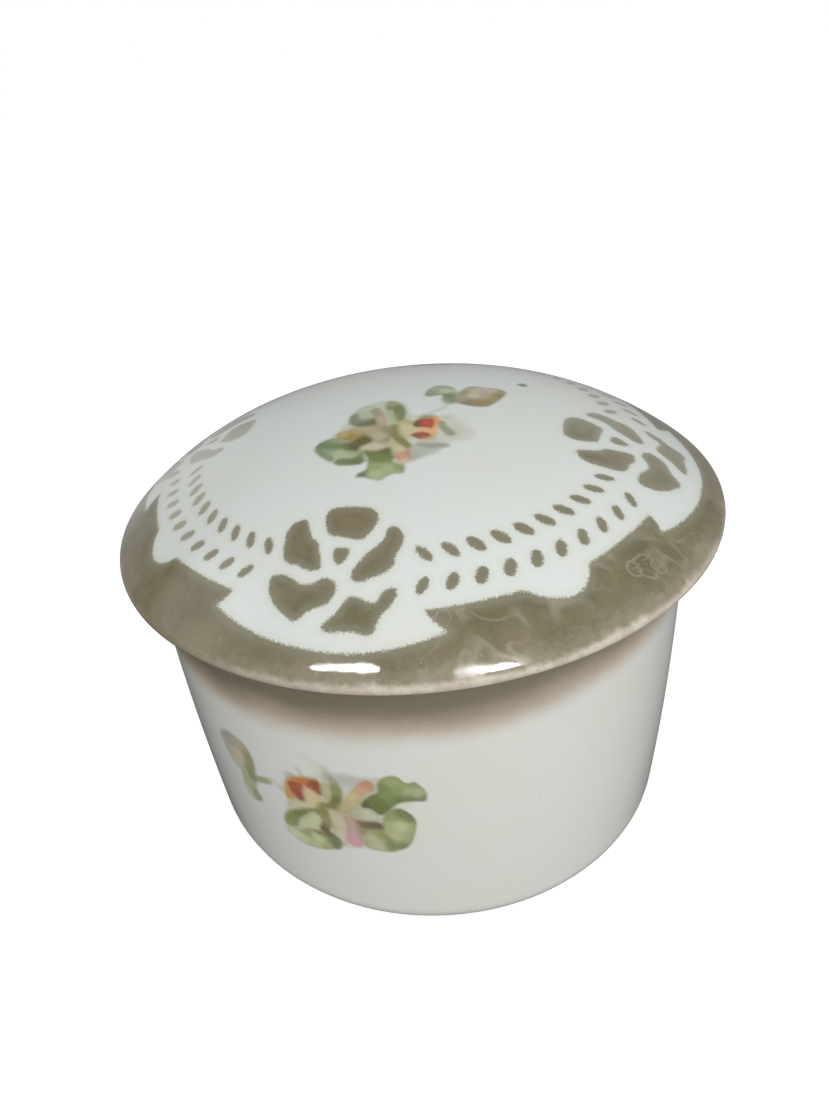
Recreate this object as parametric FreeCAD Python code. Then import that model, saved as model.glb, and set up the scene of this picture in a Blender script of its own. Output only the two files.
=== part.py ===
"""Round porcelain trinket box: a deep bowl on a low foot ring and a domed lift-off lid.

Millimetres, +Z up. The origin is the centre of the circle that the foot ring stands on.
Both pieces are turned shapes, so each one is a closed profile in the XZ plane, revolved
about Z with sharp corners and then rounded along its circular edges.
"""
import FreeCAD, Part
import math
import os

# ---- driving dimensions ---------------------------------------------------------------
LID_RADIUS = 50.0           # widest point of the lid
EDGE_HEIGHT = 60.35         # lowest point of the lid's edge above the table
DOME_RISE = 17.35           # top of the dome above that lowest point
CLAY = 3.2                  # usual wall thickness of the porcelain

# bowl, outside: a slightly barrelled wall, a rounded heel and a low foot ring
RIM_ABOVE_EDGE = 1.85               # the bowl's rim stands a little inside the lid
RIM_HEIGHT = EDGE_HEIGHT + RIM_ABOVE_EDGE
RIM_RADIUS = 44.85
BELLY_RADIUS = 45.05
BELLY_HEIGHT = 46.0
HEEL_RADIUS = 43.35
HEEL_HEIGHT = 0.5                   # underside of the wall above the table
HEEL_ROUNDING = 6.1
FOOT_OUTER_RADIUS = 37.0
FOOT_INNER_RADIUS = 33.4
FOOT_ROUNDING = 0.35
UNDERSIDE_HEIGHT = 1.6              # recessed disc inside the foot ring
UNDERSIDE_ROUNDING = 0.8

# bowl, inside
MOUTH_RADIUS = 41.6
FLOOR_HEIGHT = 5.0
FLOOR_RADIUS = 40.0
FLOOR_ROUNDING = 5.0
RIM_ROUNDING = 1.0

# lid, outside: a flat crown, a rounder shoulder and a rolled edge
CROWN_ARC = 108.0
CROWN_REACH = 25.0                  # radius where the crown meets the shoulder
SHOULDER_ARC = 58.5
EDGE_ROUNDING = 1.0

# lid, underside: an overhanging drip edge, a flat seat and a locating flange
DRIP_INNER_RADIUS = 47.4
DRIP_ROUNDING = 0.8
SEAT_OUTER_RADIUS = 45.8
SEAT_HEIGHT = RIM_HEIGHT
SEAT_ROUNDING = 0.5
FLANGE_CLEARANCE = 0.6              # all round, so the lid drops in and turns freely
FLANGE_OUTER_RADIUS = MOUTH_RADIUS - FLANGE_CLEARANCE
FLANGE_THICKNESS = 2.8
FLANGE_INNER_RADIUS = FLANGE_OUTER_RADIUS - FLANGE_THICKNESS
FLANGE_DEPTH = 4.5
FLANGE_ROUNDING = 1.2
HOLLOW_ROUNDING = 3.0

EDGE_TOLERANCE = 0.02               # how near an edge must lie to be the one asked for


def point(radius, height):
    """A point of the profile plane."""
    return FreeCAD.Vector(radius, 0, height)


def line(start, end):
    return Part.LineSegment(point(*start), point(*end)).toShape()


def arc(start, middle, end):
    return Part.Arc(point(*start), point(*middle), point(*end)).toShape()


def polyline(corners):
    return [line(a, b) for a, b in zip(corners, corners[1:])]


def turned(edges):
    """The solid made by turning a closed profile about the Z axis."""
    face = Part.Face(Part.Wire(edges))
    return face.revolve(point(0, 0), FreeCAD.Vector(0, 0, 1), 360)


def circle_edge(solid, corner):
    """The circular edge that a profile corner (radius, height) turned into."""
    radius, height = corner
    for edge in solid.Edges:
        if edge.Degenerated or not isinstance(edge.Curve, Part.Circle):
            continue
        centre = edge.Curve.Center
        on_axis = math.hypot(centre.x, centre.y) < EDGE_TOLERANCE
        if on_axis and abs(edge.Curve.Radius - radius) < EDGE_TOLERANCE \
                and abs(centre.z - height) < EDGE_TOLERANCE:
            return edge
    raise ValueError("no circular edge at radius %.2f, height %.2f" % corner)


def rounded(solid, roundings):
    """Round each listed corner: pairs of (radius, height) and rounding radius."""
    for corner, rounding in roundings:
        solid = solid.makeFillet(rounding, [circle_edge(solid, corner)])
    return solid


def make_bowl():
    """Deep bowl: barrelled wall, flat floor, and a foot ring with a recessed underside."""
    rim_outer = (RIM_RADIUS, RIM_HEIGHT)
    rim_inner = (MOUTH_RADIUS, RIM_HEIGHT)
    heel = (HEEL_RADIUS, HEEL_HEIGHT)
    floor_edge = (FLOOR_RADIUS, FLOOR_HEIGHT)
    belly_inner = (BELLY_RADIUS - CLAY, BELLY_HEIGHT)
    foot_outer = (FOOT_OUTER_RADIUS, 0)
    foot_inner = (FOOT_INNER_RADIUS, 0)
    underside = (FOOT_INNER_RADIUS, UNDERSIDE_HEIGHT)

    outside = arc(rim_outer, (BELLY_RADIUS, BELLY_HEIGHT), heel)
    inside = arc(floor_edge, belly_inner, rim_inner)
    foot = polyline([heel, (FOOT_OUTER_RADIUS, HEEL_HEIGHT), foot_outer, foot_inner,
                     underside, (0, UNDERSIDE_HEIGHT), (0, FLOOR_HEIGHT), floor_edge])
    sharp = turned([outside] + foot + [inside, line(rim_inner, rim_outer)])
    return rounded(sharp, [
        (heel, HEEL_ROUNDING),
        (floor_edge, FLOOR_ROUNDING),
        (rim_outer, RIM_ROUNDING),
        (rim_inner, RIM_ROUNDING),
        (foot_outer, FOOT_ROUNDING),
        (foot_inner, FOOT_ROUNDING),
        (underside, UNDERSIDE_ROUNDING),
    ])


class Dome:
    """A crown arc and a tighter shoulder arc with one tangent where they meet.

    inset moves the whole curve inwards, so the same dome gives both faces of the lid.
    """

    def __init__(self, inset=0.0):
        apex = EDGE_HEIGHT + DOME_RISE
        tilt = math.asin(CROWN_REACH / CROWN_ARC)
        between_centres = CROWN_ARC - SHOULDER_ARC
        self.apex = (0, apex - inset)
        self.crown = CROWN_ARC - inset
        self.crown_centre = apex - CROWN_ARC
        self.shoulder = SHOULDER_ARC - inset
        self.shoulder_centre = (between_centres * math.sin(tilt),
                                self.crown_centre + between_centres * math.cos(tilt))
        self.meet = self.crown * math.sin(tilt)

    def height(self, radius):
        """Height of the curve at a distance from the axis."""
        if radius <= self.meet:
            return self.crown_centre + math.sqrt(self.crown ** 2 - radius ** 2)
        reach = radius - self.shoulder_centre[0]
        return self.shoulder_centre[1] + math.sqrt(self.shoulder ** 2 - reach ** 2)

    def at(self, radius):
        return (radius, self.height(radius))

    def edges(self, radius):
        """The two arcs from the apex out to a radius."""
        crown = arc(self.apex, self.at(self.meet / 2), self.at(self.meet))
        shoulder = arc(self.at(self.meet), self.at((self.meet + radius) / 2), self.at(radius))
        return [crown, shoulder]


def make_lid():
    """Domed lid: rolled overhanging edge, flat seat, and a flange that drops in the mouth."""
    outer = Dome()
    inner = Dome(CLAY)
    band_top = outer.at(LID_RADIUS)
    band_foot = (LID_RADIUS, EDGE_HEIGHT)
    drip_inner = (DRIP_INNER_RADIUS, EDGE_HEIGHT)
    seat_outer = (SEAT_OUTER_RADIUS, SEAT_HEIGHT)
    flange_root = (FLANGE_OUTER_RADIUS, SEAT_HEIGHT)
    flange_outer = (FLANGE_OUTER_RADIUS, SEAT_HEIGHT - FLANGE_DEPTH)
    flange_inner = (FLANGE_INNER_RADIUS, SEAT_HEIGHT - FLANGE_DEPTH)
    hollow_edge = inner.at(FLANGE_INNER_RADIUS)

    underside = polyline([band_top, band_foot, drip_inner, seat_outer, flange_root,
                          flange_outer, flange_inner, hollow_edge])
    hollow = inner.edges(FLANGE_INNER_RADIUS)[::-1]
    sharp = turned(outer.edges(LID_RADIUS) + underside + hollow + [line(inner.apex, outer.apex)])
    return rounded(sharp, [
        (band_top, EDGE_ROUNDING),
        (band_foot, EDGE_ROUNDING),
        (drip_inner, DRIP_ROUNDING),
        (seat_outer, SEAT_ROUNDING),
        (flange_root, SEAT_ROUNDING),
        (flange_outer, FLANGE_ROUNDING),
        (flange_inner, FLANGE_ROUNDING),
        (hollow_edge, HOLLOW_ROUNDING),
    ])


def main():
    os.makedirs("parts", exist_ok=True)
    pieces = {"bowl": make_bowl(), "lid": make_lid()}
    for name, solid in pieces.items():
        solid.exportStep("parts/%s.step" % name)
        box = solid.optimalBoundingBox()
        print("%-5s valid %s, %d solid, volume %.1f cm3, z %.2f to %.2f, radius %.2f"
              % (name, solid.isValid(), len(solid.Solids), solid.Volume / 1000,
                 box.ZMin, box.ZMax, box.XMax))
    print("band before rounding: %.2f mm" % (Dome().height(LID_RADIUS) - EDGE_HEIGHT))
    print("shared volume at rest: %.4f mm3" % pieces["bowl"].common(pieces["lid"]).Volume)


main()
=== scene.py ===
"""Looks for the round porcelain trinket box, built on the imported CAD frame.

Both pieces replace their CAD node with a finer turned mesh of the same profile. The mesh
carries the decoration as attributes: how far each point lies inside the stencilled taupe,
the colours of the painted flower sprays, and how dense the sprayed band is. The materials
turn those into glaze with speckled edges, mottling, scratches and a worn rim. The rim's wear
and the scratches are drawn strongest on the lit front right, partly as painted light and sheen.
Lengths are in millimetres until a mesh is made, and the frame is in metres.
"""
import bpy
import math
import numpy as np
from mathutils import Matrix, Vector


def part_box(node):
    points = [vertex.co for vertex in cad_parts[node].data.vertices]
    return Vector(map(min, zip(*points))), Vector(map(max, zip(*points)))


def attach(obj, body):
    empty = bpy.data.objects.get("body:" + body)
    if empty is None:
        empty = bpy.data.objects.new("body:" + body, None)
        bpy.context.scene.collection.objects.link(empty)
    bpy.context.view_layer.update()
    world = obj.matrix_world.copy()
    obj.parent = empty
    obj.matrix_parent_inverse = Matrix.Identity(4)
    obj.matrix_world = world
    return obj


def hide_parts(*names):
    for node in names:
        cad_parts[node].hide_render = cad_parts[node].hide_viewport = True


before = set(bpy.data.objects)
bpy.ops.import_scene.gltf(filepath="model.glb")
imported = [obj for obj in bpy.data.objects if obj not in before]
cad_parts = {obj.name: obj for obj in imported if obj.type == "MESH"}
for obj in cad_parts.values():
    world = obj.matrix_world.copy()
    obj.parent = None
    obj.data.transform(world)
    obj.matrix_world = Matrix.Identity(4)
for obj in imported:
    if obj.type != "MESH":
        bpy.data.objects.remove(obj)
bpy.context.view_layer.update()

MM = 0.001
scene = bpy.context.scene

# ---- sizes: the frame gives the outline, the rest repeats the CAD profile --------------
LID_LOW, LID_HIGH = (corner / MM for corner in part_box("lid"))
BOWL_LOW, BOWL_HIGH = (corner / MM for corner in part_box("bowl"))
LID_RADIUS = LID_HIGH.x
DOME_TOP = LID_HIGH.z
RIM_HEIGHT = BOWL_HIGH.z
BELLY_RADIUS = BOWL_HIGH.x
EDGE_HEIGHT = RIM_HEIGHT - 1.85     # lowest point of the lid's edge
CLAY = 3.2                          # thickness of the walls

CROWN_ARC = 108.0
CROWN_REACH = 25.0
SHOULDER_ARC = 58.5
EDGE_ROUNDING = 1.0
DRIP_INNER_RADIUS = 47.4
DRIP_ROUNDING = 0.8
SEAT_OUTER_RADIUS = 45.8
SEAT_ROUNDING = 0.5
FLANGE_OUTER_RADIUS = 41.0
FLANGE_INNER_RADIUS = 38.2
FLANGE_FOOT = LID_LOW.z
FLANGE_ROUNDING = 1.2
HOLLOW_ROUNDING = 3.0

RIM_RADIUS = 44.85
BELLY_HEIGHT = 46.0
HEEL = (43.35, 0.5)
HEEL_ROUNDING = 6.1
FOOT_OUTER_RADIUS = 37.0
FOOT_INNER_RADIUS = 33.4
FOOT_ROUNDING = 0.35
UNDERSIDE_HEIGHT = 1.6
UNDERSIDE_ROUNDING = 0.8
MOUTH_RADIUS = 41.6
FLOOR_HEIGHT = 5.0
FLOOR_RADIUS = 40.0
FLOOR_ROUNDING = 5.0
RIM_ROUNDING = 1.0


# ---- camera ----------------------------------------------------------------------------
def place_camera():
    """The photograph's view: close above the lid's edge, a little tilted and off centre."""
    eye = Vector((0.0, -127.3, 132.35)) * MM
    target = Vector((-19.46, -7.06, 51.4)) * MM
    tilt = math.radians(-10.755)
    back = (eye - target).normalized()
    level = Vector((0, 0, 1)).cross(back).normalized()
    across = level * math.cos(tilt) + back.cross(level) * math.sin(tilt)
    axes = Matrix((across, back.cross(across), back)).transposed()

    data = bpy.data.cameras.new("camera")
    data.sensor_width = 36.0
    data.lens = 27.03
    data.shift_x = 0.103
    data.shift_y = 0.0218
    data.clip_start = 0.005
    camera = bpy.data.objects.new("camera", data)
    camera.matrix_world = Matrix.Translation(eye) @ axes.to_4x4()
    scene.collection.objects.link(camera)
    scene.camera = camera


place_camera()


# ---- profiles --------------------------------------------------------------------------
class Dome:
    """A crown arc and a tighter shoulder arc with one tangent where they meet."""

    def __init__(self, inset=0.0):
        tilt = math.asin(CROWN_REACH / CROWN_ARC)
        between = CROWN_ARC - SHOULDER_ARC
        self.crown = CROWN_ARC - inset
        self.crown_centre = DOME_TOP - CROWN_ARC
        self.shoulder = SHOULDER_ARC - inset
        self.shoulder_radius = between * math.sin(tilt)
        self.shoulder_height = self.crown_centre + between * math.cos(tilt)
        self.meet = self.crown * math.sin(tilt)

    def height(self, radius):
        if radius <= self.meet:
            return self.crown_centre + math.sqrt(self.crown ** 2 - radius ** 2)
        reach = radius - self.shoulder_radius
        return self.shoulder_height + math.sqrt(self.shoulder ** 2 - reach ** 2)

    def path(self, start, end, step=0.5):
        """Points from one distance from the axis to another."""
        count = max(2, round(abs(end - start) / step))
        radii = [start + (end - start) * i / count for i in range(count + 1)]
        return [(radius, self.height(radius)) for radius in radii]


def arc_through(start, middle, end, count=60):
    """Points of the circular arc through three points."""
    (ax, ay), (bx, by), (cx, cy) = start, middle, end
    turn = 2 * (ax * (by - cy) + bx * (cy - ay) + cx * (ay - by))
    a2, b2, c2 = ax * ax + ay * ay, bx * bx + by * by, cx * cx + cy * cy
    x = (a2 * (by - cy) + b2 * (cy - ay) + c2 * (ay - by)) / turn
    y = (a2 * (cx - bx) + b2 * (ax - cx) + c2 * (bx - ax)) / turn
    radius = math.hypot(ax - x, ay - y)
    first = math.atan2(ay - y, ax - x)
    sweep = math.remainder(math.atan2(cy - y, cx - x) - first, math.tau)
    return [(x + radius * math.cos(first + sweep * i / count),
             y + radius * math.sin(first + sweep * i / count)) for i in range(count + 1)]


def along(path, lengths):
    """Points at given lengths along a path."""
    path = np.asarray(path, float)
    steps = np.hypot(*np.diff(path, axis=0).T)
    run = np.concatenate([[0], np.cumsum(steps)])
    return np.stack([np.interp(lengths, run, path[:, k]) for k in (0, 1)], axis=1)


def path_length(path):
    return float(np.hypot(*np.diff(np.asarray(path, float), axis=0).T).sum())


def trimmed(path, start=0.0, end=0.0):
    """A path without its first and last stretch, as points a tenth of a millimetre apart."""
    length = path_length(path)
    return along(path, np.linspace(start, length - end, max(2, int(length / 0.1))))


def round_corner(before, after, rounding, count=10):
    """Two paths that meet in a corner, trimmed, with an arc between them."""
    before, after = np.asarray(before, float), np.asarray(after, float)
    corner = after[0]
    arriving = before[-1] - before[-2]
    leaving = after[1] - corner
    turn = abs(math.remainder(math.atan2(leaving[1], leaving[0])
                              - math.atan2(arriving[1], arriving[0]), math.tau))
    trim = rounding * math.tan(turn / 2)
    before, after = trimmed(before, end=trim), trimmed(after, start=trim)
    weight = math.cos(turn / 2)
    curve = []
    for i in range(1, count):
        t = i / count
        shares = np.array([(1 - t) ** 2, 2 * t * (1 - t) * weight, t * t])
        curve.append((shares @ np.array([before[-1], corner, after[0]])) / shares.sum())
    return before, curve, after


def rounded_path(runs, roundings):
    """Runs of points joined end to end, with each joint between them rounded."""
    path = [np.asarray(runs[0], float)]
    for run, rounding in zip(runs[1:], roundings):
        if rounding == 0:
            path.append(np.asarray(run, float))
            continue
        before, curve, after = round_corner(path[-1], run, rounding)
        path[-1] = before
        path.append(np.array(curve))
        path.append(after)
    return np.concatenate(path)


def march(path, step_at):
    """Points along a path, each step_at(radius, height) from the one before."""
    total = path_length(path)
    lengths = [0.0]
    while lengths[-1] < total:
        radius, height = along(path, [lengths[-1]])[0]
        lengths.append(lengths[-1] + step_at(radius, height))
    lengths = np.array(lengths) * total / lengths[-1]
    return along(path, lengths)


def straight(*corners):
    """Each side of a chain of corners as its own run."""
    return [[a, b] for a, b in zip(corners, corners[1:])]


def lid_profile():
    """The lid's closed profile from the middle of the crown round to the hollow's middle."""
    outer, inner = Dome(), Dome(CLAY)
    sides = straight(
        (LID_RADIUS, outer.height(LID_RADIUS)), (LID_RADIUS, EDGE_HEIGHT),
        (DRIP_INNER_RADIUS, EDGE_HEIGHT), (SEAT_OUTER_RADIUS, RIM_HEIGHT),
        (FLANGE_OUTER_RADIUS, RIM_HEIGHT), (FLANGE_OUTER_RADIUS, FLANGE_FOOT),
        (FLANGE_INNER_RADIUS, FLANGE_FOOT),
        (FLANGE_INNER_RADIUS, inner.height(FLANGE_INNER_RADIUS)))
    runs = [outer.path(0, LID_RADIUS)] + sides + [inner.path(FLANGE_INNER_RADIUS, 0)]
    return rounded_path(runs, [EDGE_ROUNDING, EDGE_ROUNDING, DRIP_ROUNDING, SEAT_ROUNDING,
                               SEAT_ROUNDING, FLANGE_ROUNDING, FLANGE_ROUNDING,
                               HOLLOW_ROUNDING])


def bowl_profile():
    """The bowl's closed profile from the middle of the floor, over the rim, to the foot."""
    rim_inner, rim_outer = (MOUTH_RADIUS, RIM_HEIGHT), (RIM_RADIUS, RIM_HEIGHT)
    floor_edge = (FLOOR_RADIUS, FLOOR_HEIGHT)
    inside = arc_through(floor_edge, (BELLY_RADIUS - CLAY, BELLY_HEIGHT), rim_inner)
    outside = arc_through(rim_outer, (BELLY_RADIUS, BELLY_HEIGHT), HEEL)
    foot = straight(HEEL, (FOOT_OUTER_RADIUS, HEEL[1]), (FOOT_OUTER_RADIUS, 0),
                    (FOOT_INNER_RADIUS, 0), (FOOT_INNER_RADIUS, UNDERSIDE_HEIGHT),
                    (0, UNDERSIDE_HEIGHT))
    runs = [[(0, FLOOR_HEIGHT), floor_edge], inside, [rim_inner, rim_outer], outside] + foot
    return rounded_path(runs, [FLOOR_ROUNDING, RIM_ROUNDING, RIM_ROUNDING, HEEL_ROUNDING,
                               0, FOOT_ROUNDING, FOOT_ROUNDING, UNDERSIDE_ROUNDING])


# ---- turned meshes ---------------------------------------------------------------------
def polar(angle, radius):
    return np.stack([radius * np.cos(angle), radius * np.sin(angle)], axis=-1)


def even_angles(count):
    return np.arange(count) * (math.tau / count)


def graded_angles(fine_spans, fine_step, coarse_step):
    """Angles round the circle, closer together inside the given spans (degrees)."""
    angles, angle = [], fine_spans[0][0]
    end = angle + 360
    while angle < end - fine_step / 2:
        angles.append(angle)
        fine = any(low <= (angle - low) % 360 + low < high for low, high in fine_spans)
        angle += fine_step if fine else coarse_step
    return np.sort(np.radians(np.array(angles) % 360))


def bridge(below, above, faces):
    """Join two rings, each given as (first vertex, angles), with outward faces."""
    (start_a, angles_a), (start_b, angles_b) = below, above
    count_a, count_b = len(angles_a), len(angles_b)
    if count_a == 1 or count_b == 1:
        hub = start_a if count_a == 1 else start_b
        start, count = (start_b, count_b) if count_a == 1 else (start_a, count_a)
        for i in range(count):
            pair = (start + i, start + (i + 1) % count)
            faces.append((hub, pair[0], pair[1]) if count_a == 1 else (hub, pair[1], pair[0]))
        return
    if count_a == count_b:
        for i in range(count_a):
            j = (i + 1) % count_a
            faces.append((start_a + i, start_b + i, start_b + j, start_a + j))
        return
    # rings of different counts are zipped: the side that is behind takes the next triangle
    i = j = 0
    while i < count_a or j < count_b:
        next_a = angles_a[i + 1] if i + 1 < count_a else angles_a[0] + math.tau
        next_b = angles_b[j + 1] if j + 1 < count_b else angles_b[0] + math.tau
        a, b = start_a + i % count_a, start_b + j % count_b
        if j >= count_b or (i < count_a and next_a <= next_b):
            faces.append((a, b, start_a + (i + 1) % count_a))
            i += 1
        else:
            faces.append((a, b, start_b + (j + 1) % count_b))
            j += 1


OVAL, RIPPLE, RISE = 0.05, 0.02, 0.03       # parts of the fired clay's unevenness (mm)


def sway(points):
    """A slow hand-made unevenness, up to about a tenth of a millimetre."""
    x, y, z = (points[:, k] / 10 for k in range(3))
    radial = OVAL * np.sin(2 * np.arctan2(y, x) + 0.7) + RIPPLE * np.sin(1.1 * x - 0.8 * y + z)
    rise = RISE * np.sin(0.9 * x + 1.3) * np.cos(0.8 * y)
    reach = np.maximum(np.hypot(x, y), 1e-9)
    swell = radial * np.minimum(reach / 4, 1)       # dies away towards the axis
    return points + np.stack([x / reach * swell, y / reach * swell, rise * (z > 1)], axis=1)


def turned_mesh(name, profile, angles_at):
    """A closed turned mesh. Returns the object, its true points and the rows they lie in."""
    points, faces, rings, row_of = [], [], [], []
    total = 0
    for row, (radius, height) in enumerate(profile):
        on_axis = row in (0, len(profile) - 1)
        angles = np.zeros(1) if on_axis else angles_at(radius, height)
        radius = 0.0 if on_axis else radius
        rings.append((total, angles))
        points.append(np.column_stack([polar(angles, radius), np.full(len(angles), height)]))
        row_of.append(np.full(len(angles), row))
        total += len(angles)
    for below, above in zip(rings, rings[1:]):
        bridge(below, above, faces)
    points = np.concatenate(points)
    mesh = bpy.data.meshes.new(name)
    mesh.from_pydata((sway(points) * MM).tolist(), [], faces)
    mesh.polygons.foreach_set("use_smooth", [True] * len(mesh.polygons))
    mesh.update()
    piece = bpy.data.objects.new(name, mesh)
    scene.collection.objects.link(piece)
    return piece, points, np.concatenate(row_of)


def attribute(piece, name, values):
    """Store one number or one colour per vertex."""
    values = np.asarray(values, np.float32)
    if values.ndim == 1:
        layer = piece.data.attributes.new(name, "FLOAT", "POINT")
        layer.data.foreach_set("value", values)
    else:
        layer = piece.data.attributes.new(name, "FLOAT_COLOR", "POINT")
        layer.data.foreach_set("color", values.ravel())


# ---- outlines and painting -------------------------------------------------------------
def smooth_line(points, closed=True, steps=6):
    """A Catmull-Rom curve through the points."""
    points = np.asarray(points, float)
    if closed:
        padded = np.concatenate([points[-1:], points, points[:2]])
    else:
        padded = np.concatenate([points[:1], points, points[-1:]])
    curve = []
    for p0, p1, p2, p3 in zip(padded, padded[1:], padded[2:], padded[3:]):
        for i in range(steps):
            t = i / steps
            curve.append(0.5 * (2 * p1 + (p2 - p0) * t + (2 * p0 - 5 * p1 + 4 * p2 - p3) * t ** 2
                                + (3 * p1 - p0 - 3 * p2 + p3) * t ** 3))
    if not closed:
        curve.append(points[-1])
    return np.array(curve)


def line_distance(points, line, closed):
    """Distance to a line of points, and whether each point lies inside it when closed."""
    x, y = points[:, 0], points[:, 1]
    best = np.full(len(points), np.inf)
    inside = np.zeros(len(points), bool)
    ends = np.roll(line, -1, axis=0) if closed else line[1:]
    for (ax, ay), (bx, by) in zip(line, ends):
        dx, dy = bx - ax, by - ay
        share = ((x - ax) * dx + (y - ay) * dy) / max(dx * dx + dy * dy, 1e-12)
        share = np.clip(share, 0, 1)
        best = np.minimum(best, np.hypot(x - ax - share * dx, y - ay - share * dy))
        if closed and dy:
            inside ^= ((ay > y) != (by > y)) & (x < ax + (y - ay) * dx / dy)
    return best, inside


DEPTH_REACH = 3.0                   # depths are told apart this far outside an outline (mm)


def depth_inside(points, outline):
    """How far inside a closed outline each point lies, negative outside, to -DEPTH_REACH."""
    depth = np.full(len(points), -DEPTH_REACH)
    low, high = outline.min(axis=0) - DEPTH_REACH, outline.max(axis=0) + DEPTH_REACH
    near = np.all((points > low) & (points < high), axis=1)
    if near.any():
        distance, inside = line_distance(points[near], outline, True)
        depth[near] = np.where(inside, distance, -np.minimum(distance, DEPTH_REACH))
    return depth


def linear(colour):
    """An sRGB colour, 0 to 255, as linear light."""
    value = np.asarray(colour, float) / 255
    return np.where(value <= 0.04045, value / 12.92, ((value + 0.055) / 1.055) ** 2.4)


def ease(share):
    """A smooth start and stop for a share from 0 to 1, held to that range."""
    share = np.clip(share, 0, 1)
    return share * share * (3 - 2 * share)


PAINT_SPREAD = 0.22                 # how far paint runs past its outline (mm)
INK_CONTRAST = np.array([1.05, 1.08, 1.2])      # deepens inks judged from soft patches
TINT_SPREAD = 0.4                   # softens the change from one tint to the next
EDGE_LINE = 0.16                    # how much darker a patch is along its edge
EDGE_LINE_WIDTH = 0.3               # (mm)
WASH_SOFTNESS = 0.65                # softer patches than this are washes with no edge line


class Spray:
    """A painted flower spray: patches of soft-edged colour laid one over another."""

    def __init__(self, points, glaze):
        self.points = points
        self.glaze = glaze
        self.colour = np.tile(glaze, (len(points), 1))
        self.cover = np.zeros(len(points))

    def lay(self, depth, tints, soft, strength, edge_line=0.0):
        share = ease(0.5 + (depth + PAINT_SPREAD) / (2 * soft)) * strength
        near = share > 0
        spots = np.array([tint[:2] for tint in tints], float)
        inks = np.array([self.glaze * (linear(tint[2:]) / linear(PAPER)) ** INK_CONTRAST
                         for tint in tints])
        gaps = self.points[near][:, None, :] - spots[None, :, :]
        pull = 1 / ((gaps ** 2).sum(axis=2) + TINT_SPREAD) ** 2
        ink = (pull @ inks) / pull.sum(axis=1)[:, None]
        ink *= 1 - edge_line * np.exp(-(depth[near][:, None] / EDGE_LINE_WIDTH) ** 2)
        weight = share[near][:, None]
        self.colour[near] = self.colour[near] * (1 - weight) + ink * weight
        self.cover[near] += share[near] * (1 - self.cover[near])

    def patch(self, outline, *tints, soft=0.55, strength=1.0):
        """A filled outline. Each tint is (x, y, red, green, blue)."""
        self.lay(depth_inside(self.points, smooth_line(outline)), tints, soft, strength,
                 EDGE_LINE if soft < WASH_SOFTNESS else 0.0)

    def stroke(self, line, width, *tints, soft=0.4, strength=0.9):
        """A line of one width through the points."""
        distance, _ = line_distance(self.points, smooth_line(line, closed=False), False)
        self.lay(width / 2 - distance, tints, soft, strength)

    def spot(self, x, y, across, up, colour, soft=0.5, strength=0.8):
        """A soft ellipse of one colour."""
        reach = np.hypot((self.points[:, 0] - x) / across, (self.points[:, 1] - y) / up)
        self.lay((1 - reach) * min(across, up), [(x, y, *colour)], soft, strength)

    def layer(self):
        return np.concatenate([self.colour, self.cover[:, None]], axis=1)


# ---- stencilled lid pattern: four flowers joined by chains of leaves -------------------
FLOWERS = 4
FIRST_FLOWER = math.radians(-105.2)
FLOWER_RADIUS = 34.6                # from the axis to the dot in a flower's centre

# outlines round the dot: (counter-clockwise, outward)
INNER_PETAL = [(-2.9, -8.1), (-0.5, -8.4), (1.9, -8.3), (3.2, -7.6), (3.7, -6.4), (3.4, -4.8),
               (2.8, -3.6), (2.0, -2.8), (-1.2, -3.1), (-2.6, -3.4), (-3.4, -4.6),
               (-3.9, -6.2), (-3.7, -7.4)]
LEFT_PETAL = [(-7.3, -6.0), (-6.5, -5.7), (-5.8, -4.3), (-5.1, -2.9), (-4.0, -2.1),
              (-3.5, -0.8), (-2.9, 0.7), (-2.9, 1.9), (-4.6, 2.0), (-5.9, 1.4), (-7.6, 1.0),
              (-8.6, 0.0), (-9.0, -2.0), (-9.1, -4.2), (-8.5, -5.4)]
FLOWER_DOT = [(-1.3, -1.2), (0.5, -1.3), (0.8, -0.6), (0.4, 0.5), (-0.3, 1.1), (-1.1, 0.4)]
RIGHT_PETAL = [(6.1, -5.3), (7.2, -4.8), (7.8, -3.6), (7.7, -2.4), (7.2, -0.8), (7.1, 0.6),
               (6.3, 1.6), (4.8, 2.5), (3.4, 3.2), (2.2, 3.2), (1.8, 2.2), (2.5, 0.6),
               (3.4, -0.9), (4.6, -2.2), (5.2, -3.4), (5.4, -4.6)]
OUTER_LEFT_PETAL = [(-9.5, 2.8), (-7.8, 2.7), (-6.3, 3.3), (-4.9, 4.0), (-3.4, 3.9),
                    (-2.2, 3.2), (-1.0, 3.2), (0.0, 4.0), (0.0, 5.2), (-0.7, 6.3),
                    (-1.9, 6.9), (-3.2, 7.4), (-4.2, 8.3), (-5.3, 8.5), (-6.6, 7.8),
                    (-8.0, 6.8), (-9.2, 5.4), (-9.7, 4.0)]
OUTER_RIGHT_PETAL = [(-0.9, 9.3), (-0.2, 8.3), (0.9, 7.2), (1.6, 6.0), (2.3, 5.3),
                     (3.6, 5.4), (4.8, 5.8), (5.9, 5.5), (6.2, 4.6), (7.2, 3.7), (8.1, 3.6),
                     (8.2, 4.6), (7.7, 5.8), (6.8, 6.9), (6.3, 8.2), (6.0, 9.2), (5.0, 9.6),
                     (3.6, 9.4), (2.0, 9.5), (0.4, 9.7)]
FLOWER_SHAPES = [INNER_PETAL, LEFT_PETAL, FLOWER_DOT, RIGHT_PETAL, OUTER_LEFT_PETAL,
                 OUTER_RIGHT_PETAL]

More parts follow.
